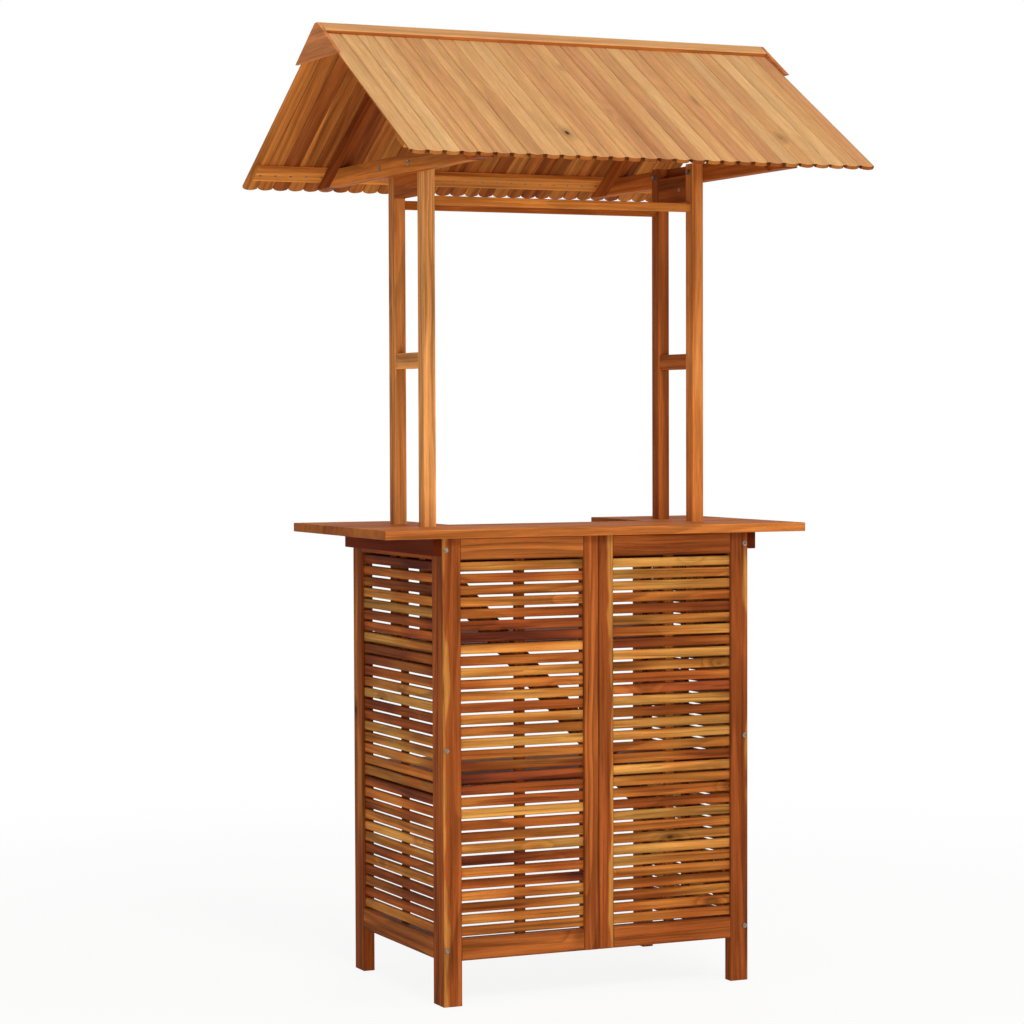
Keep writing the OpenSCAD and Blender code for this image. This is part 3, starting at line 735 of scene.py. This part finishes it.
def add_screws(name, places, size=1.0):
    """One piece that holds a group of heads; places are (point, outward) pairs."""
    rng = random.Random(f"{SEED} {name}")
    bm = bmesh.new()
    for point, outward in places:
        add_screw(bm, Vector(point), outward, rng.uniform(0, math.pi), size)
    bmesh.ops.recalc_face_normals(bm, faces=bm.faces)
    piece = add_object(name, bm, MATERIALS["steel"])
    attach(piece, "root")


def solid_middles(node):
    bm = bmesh.new()
    bm.from_mesh(frame["nodes"][node].data)
    bmesh.ops.remove_doubles(bm, verts=bm.verts, dist=WELD)
    middles = [sum((v.co for v in part), Vector()) / len(part) for part in islands(bm)]
    bm.free()
    return middles


def add_roof_screws(side):
    """A screw in every crossing of a board and a batten, under the slope."""
    boards = side + "_roof_boards"
    inward = -open_direction(boards, grain_direction(boards))
    low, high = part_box(boards)
    add_screws(side + "_roof_screws", [
        (Vector((x, middle.y, middle.z)) + inward * (BATTEN_T / 2), inward)
        for middle in solid_middles(side + "_roof_battens") for x in spread(low.x, high.x, ROOF_BOARDS)
    ])


def add_shelf_screws(level):
    low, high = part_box(level + "_shelf_boards")
    add_screws(level + "_shelf_screws", [
        ((x, y + off, high.z), Z_AXIS)
        for x in (-SHELF_SCREW_X, SHELF_SCREW_X) for y in spread(low.y, high.y, SHELF_BOARDS)
        for off in (-SHELF_SCREW_APART, SHELF_SCREW_APART)
    ])


def add_brace_screws():
    """Pairs of screws where the brace crosses stiles and slat battens."""
    fall = grain_direction("front_brace")
    across = Vector((fall.z, 0, -fall.x))
    rear_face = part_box("front_brace")[1].y
    rails_low, rails_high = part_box("front_left_rails")
    middle = Vector((0, rear_face, (rails_low.z + rails_high.z) / 2))
    add_screws("brace_screws", [
        (middle + fall * (x / fall.x) + across * off, Y_AXIS)
        for x in BRACE_CROSSINGS for off in (-BRACE_SCREW_OFF, BRACE_SCREW_OFF)
    ])


def add_barrel_nuts():
    """Nuts let into the head rails for the bolts from the front posts; one shows in the photograph."""
    low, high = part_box("left_head_rail")
    z = (low.z + high.z) / 2
    add_screws("barrel_nuts", [
        ((high.x, BARREL_NUT_Y, z), X_AXIS), ((-high.x, BARREL_NUT_Y, z), -X_AXIS)
    ], BARREL_NUT_SIZE)


add_roof_screws("front")
add_roof_screws("rear")
add_shelf_screws("upper")
add_shelf_screws("lower")
add_brace_screws()
add_barrel_nuts()


# Floor, world and lamps

FLOOR_RADIUS = 7.0
FLOOR_SIDES = 96
FLOOR_FADE = (1.3, 3.6)      # distances from the middle between which the floor fades out
FLOOR_GLOW = 0.88            # share of plain white in what the camera sees of the floor
FLOOR_GRIT = (Vector((60, 60, 60)), 3.0)
FLOOR_TONES = [(0.3, (247, 247, 246)), (0.7, (250, 250, 249))]
WORLD_LIGHT = 0.5
TABLE_MIDDLE = (0, 0, 1.2)
UNDER_ROOF = (0, 0, 1.9)


def floor_material():
    s = Nodes(bpy.data.materials.new("floor"))
    place = s.node("TexCoord").outputs["Object"]
    away = s.node("VectorMath", {"operation": "LENGTH"}, {0: place}).outputs["Value"]
    matt = s.node("BsdfDiffuse", inputs={"Color": s.ramp(s.noise(place, *FLOOR_GRIT), FLOOR_TONES)})
    glow = s.node("Emission", inputs={"Color": (*WHITE, 1), "Strength": 1.0})
    seen = s.times(s.node("LightPath").outputs["Is Camera Ray"], FLOOR_GLOW)
    pale = s.node("MixShader", inputs={0: seen, 1: matt.outputs[0], 2: glow.outputs[0]})
    clear = s.node("BsdfTransparent")
    faded = s.step(away, *FLOOR_FADE)
    blend = s.node("MixShader", inputs={0: faded, 1: pale.outputs[0], 2: clear.outputs[0]})
    s.node("OutputMaterial", inputs={"Surface": blend.outputs[0]})
    return s.owner


def add_floor():
    bm = bmesh.new()
    bmesh.ops.create_circle(bm, cap_ends=True, segments=FLOOR_SIDES, radius=FLOOR_RADIUS)
    floor = add_object("floor", bm, floor_material())


def add_world():
    """White where it is seen, also in reflections, and dimmer as light."""
    s = Nodes(bpy.data.worlds.new("world"))
    ray = s.node("LightPath").outputs
    mirrored = s.math("MAXIMUM", ray["Is Glossy Ray"], ray["Is Transmission Ray"])
    seen = s.math("MAXIMUM", ray["Is Camera Ray"], mirrored)
    strength = s.node("MapRange", inputs={"Value": seen, "To Min": WORLD_LIGHT, "To Max": 1.0})
    background = s.node("Background", inputs={"Color": (*WHITE, 1), "Strength": strength.outputs[0]})
    s.node("OutputWorld", inputs={"Surface": background.outputs[0]})
    bpy.context.scene.world = s.owner


def add_lamp(name, place, size, power, target=TABLE_MIDDLE, colour=WHITE, mirrored=True):
    lamp = bpy.data.lights.new(name, "AREA")
    lamp.shape = "DISK"
    lamp.size = size
    lamp.energy = power
    lamp.color = colour
    holder = bpy.data.objects.new(name, lamp)
    holder.location = place
    holder.rotation_euler = (Vector(target) - Vector(place)).to_track_quat("-Z", "Y").to_euler()
    holder.visible_glossy = mirrored
    bpy.context.scene.collection.objects.link(holder)


add_camera()
add_floor()
add_world()
add_lamp("key", (-0.4, -5.1, 5.4), size=2.2, power=175, colour=(1.0, 0.985, 0.96))
add_lamp("fill", (4.2, -3.6, 2.8), size=3.0, power=45)
add_lamp("low", (-2.4, -4.1, 0.4), size=2.0, power=82, target=UNDER_ROOF, colour=(1.0, 0.9, 0.78))
add_lamp("rear", (2.4, 5.0, 3.6), size=3.0, power=60, mirrored=False)
bpy.context.scene.view_settings.view_transform = "Standard"
